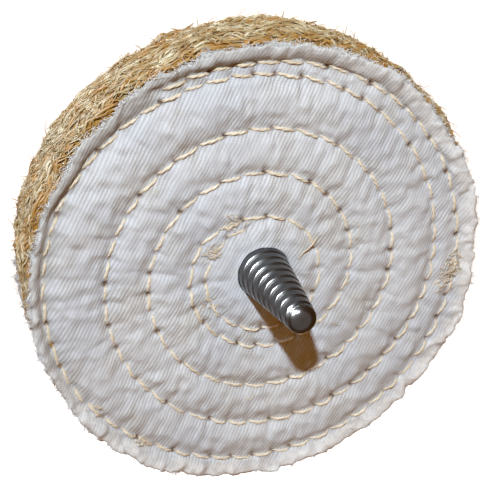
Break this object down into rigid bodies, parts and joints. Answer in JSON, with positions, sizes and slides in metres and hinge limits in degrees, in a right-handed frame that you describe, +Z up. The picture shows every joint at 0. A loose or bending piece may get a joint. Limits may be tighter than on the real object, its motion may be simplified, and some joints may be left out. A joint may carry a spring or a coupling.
{
  "type": "sisal polishing mop on tapered spindle",
  "caption": "Round stitched sisal polishing mop with cotton faces, screwed onto a tapered spindle whose sleeve clamps on a motor shaft.",
  "frame": {"origin": "centre of the shaft bore's mouth, on the sleeve's end face", "axes": "+Y along the spindle's axis, out of the bore's mouth, so the mop's front and the spindle's tip face -Y; +Z up, on the set screws' side"},
  "size_m": [0.103, 0.0759, 0.103],
  "materials": {
    "spindle_steel": "polished turned steel",
    "screw_steel": "blackened steel",
    "cotton_cloth": "bleached cotton twill",
    "sisal": "coarse natural fibre",
    "cotton_thread": "unbleached cotton thread"
  },
  "bodies": {
    "spindle": {"spindle": "spindle_steel"},
    "set_screw_1": {"set_screw_1": "screw_steel"},
    "set_screw_2": {"set_screw_2": "screw_steel"},
    "mop": {"front_cloth_outer": "cotton_cloth", "front_cloth_inner": "cotton_cloth", "sisal_ply_1": "sisal", "sisal_ply_2": "sisal", "sisal_ply_3": "sisal", "sisal_ply_4": "sisal", "sisal_ply_5": "sisal", "back_cloth_inner": "cotton_cloth", "back_cloth_outer": "cotton_cloth", "needle_thread": "cotton_thread", "bobbin_thread": "cotton_thread"}
  },
  "joints": [
    {"name": "mop_slide", "type": "slide", "parent": "spindle", "child": "mop", "axis": [0, -1, 0], "range_m": [0, 0.045]},
    {"name": "set_screw_1_travel", "type": "slide", "parent": "spindle", "child": "set_screw_1", "axis": [0, 0, 1], "range_m": [-0.001, 0.004]},
    {"name": "set_screw_2_travel", "type": "slide", "parent": "spindle", "child": "set_screw_2", "axis": [0, 0, 1], "range_m": [-0.001, 0.004]}
  ]
}
